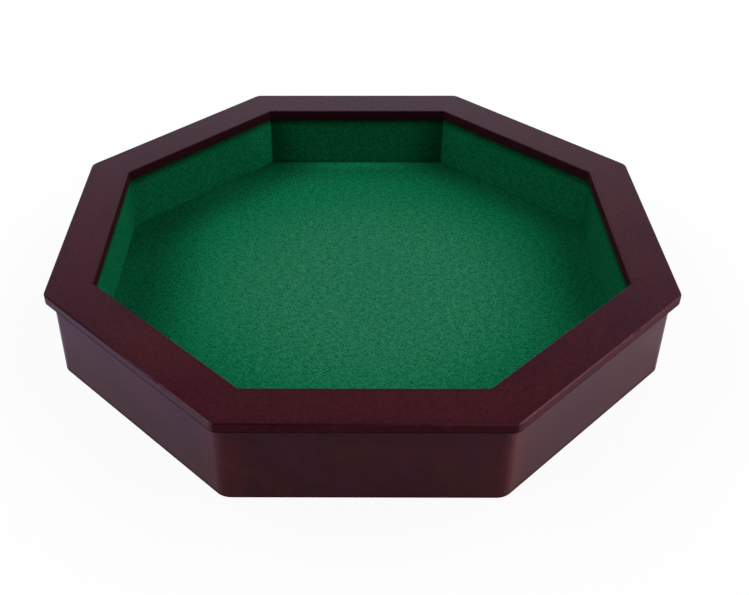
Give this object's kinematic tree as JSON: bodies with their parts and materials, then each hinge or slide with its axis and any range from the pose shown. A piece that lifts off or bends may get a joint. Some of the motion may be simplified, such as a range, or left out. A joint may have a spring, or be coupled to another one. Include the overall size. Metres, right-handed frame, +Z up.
{
  "type": "dice tray",
  "caption": "Shallow octagonal wooden tray with a flat overhanging rim and a felt-lined well, for rolling dice.",
  "frame": {"origin": "on the table, under the middle of the tray", "axes": "+Z up, out of the well; the side nearest the camera (front) faces -Y, and +X is to the right"},
  "size_m": [0.305, 0.305, 0.0473],
  "materials": {
    "lacquered_wood": "dark oxblood lacquer, semi-gloss",
    "base_board": "fibreboard, dark stain, matt",
    "green_felt": "needle felt, green",
    "spline_wood": "bare hardwood",
    "pin_steel": "bright drawn wire"
  },
  "bodies": {
    "root": {"wall_right": "lacquered_wood", "wall_back_right": "lacquered_wood", "wall_back": "lacquered_wood", "wall_back_left": "lacquered_wood", "wall_left": "lacquered_wood", "wall_front_left": "lacquered_wood", "wall_front": "lacquered_wood", "wall_front_right": "lacquered_wood", "rim_right": "lacquered_wood", "rim_back_right": "lacquered_wood", "rim_back": "lacquered_wood", "rim_back_left": "lacquered_wood", "rim_left": "lacquered_wood", "rim_front_left": "lacquered_wood", "rim_front": "lacquered_wood", "rim_front_right": "lacquered_wood", "base_panel": "base_board", "floor_felt": "green_felt", "wall_felt": "green_felt", "corner_splines": "spline_wood", "rim_pins": "pin_steel", "base_brads": "pin_steel"}
  },
  "joints": []
}
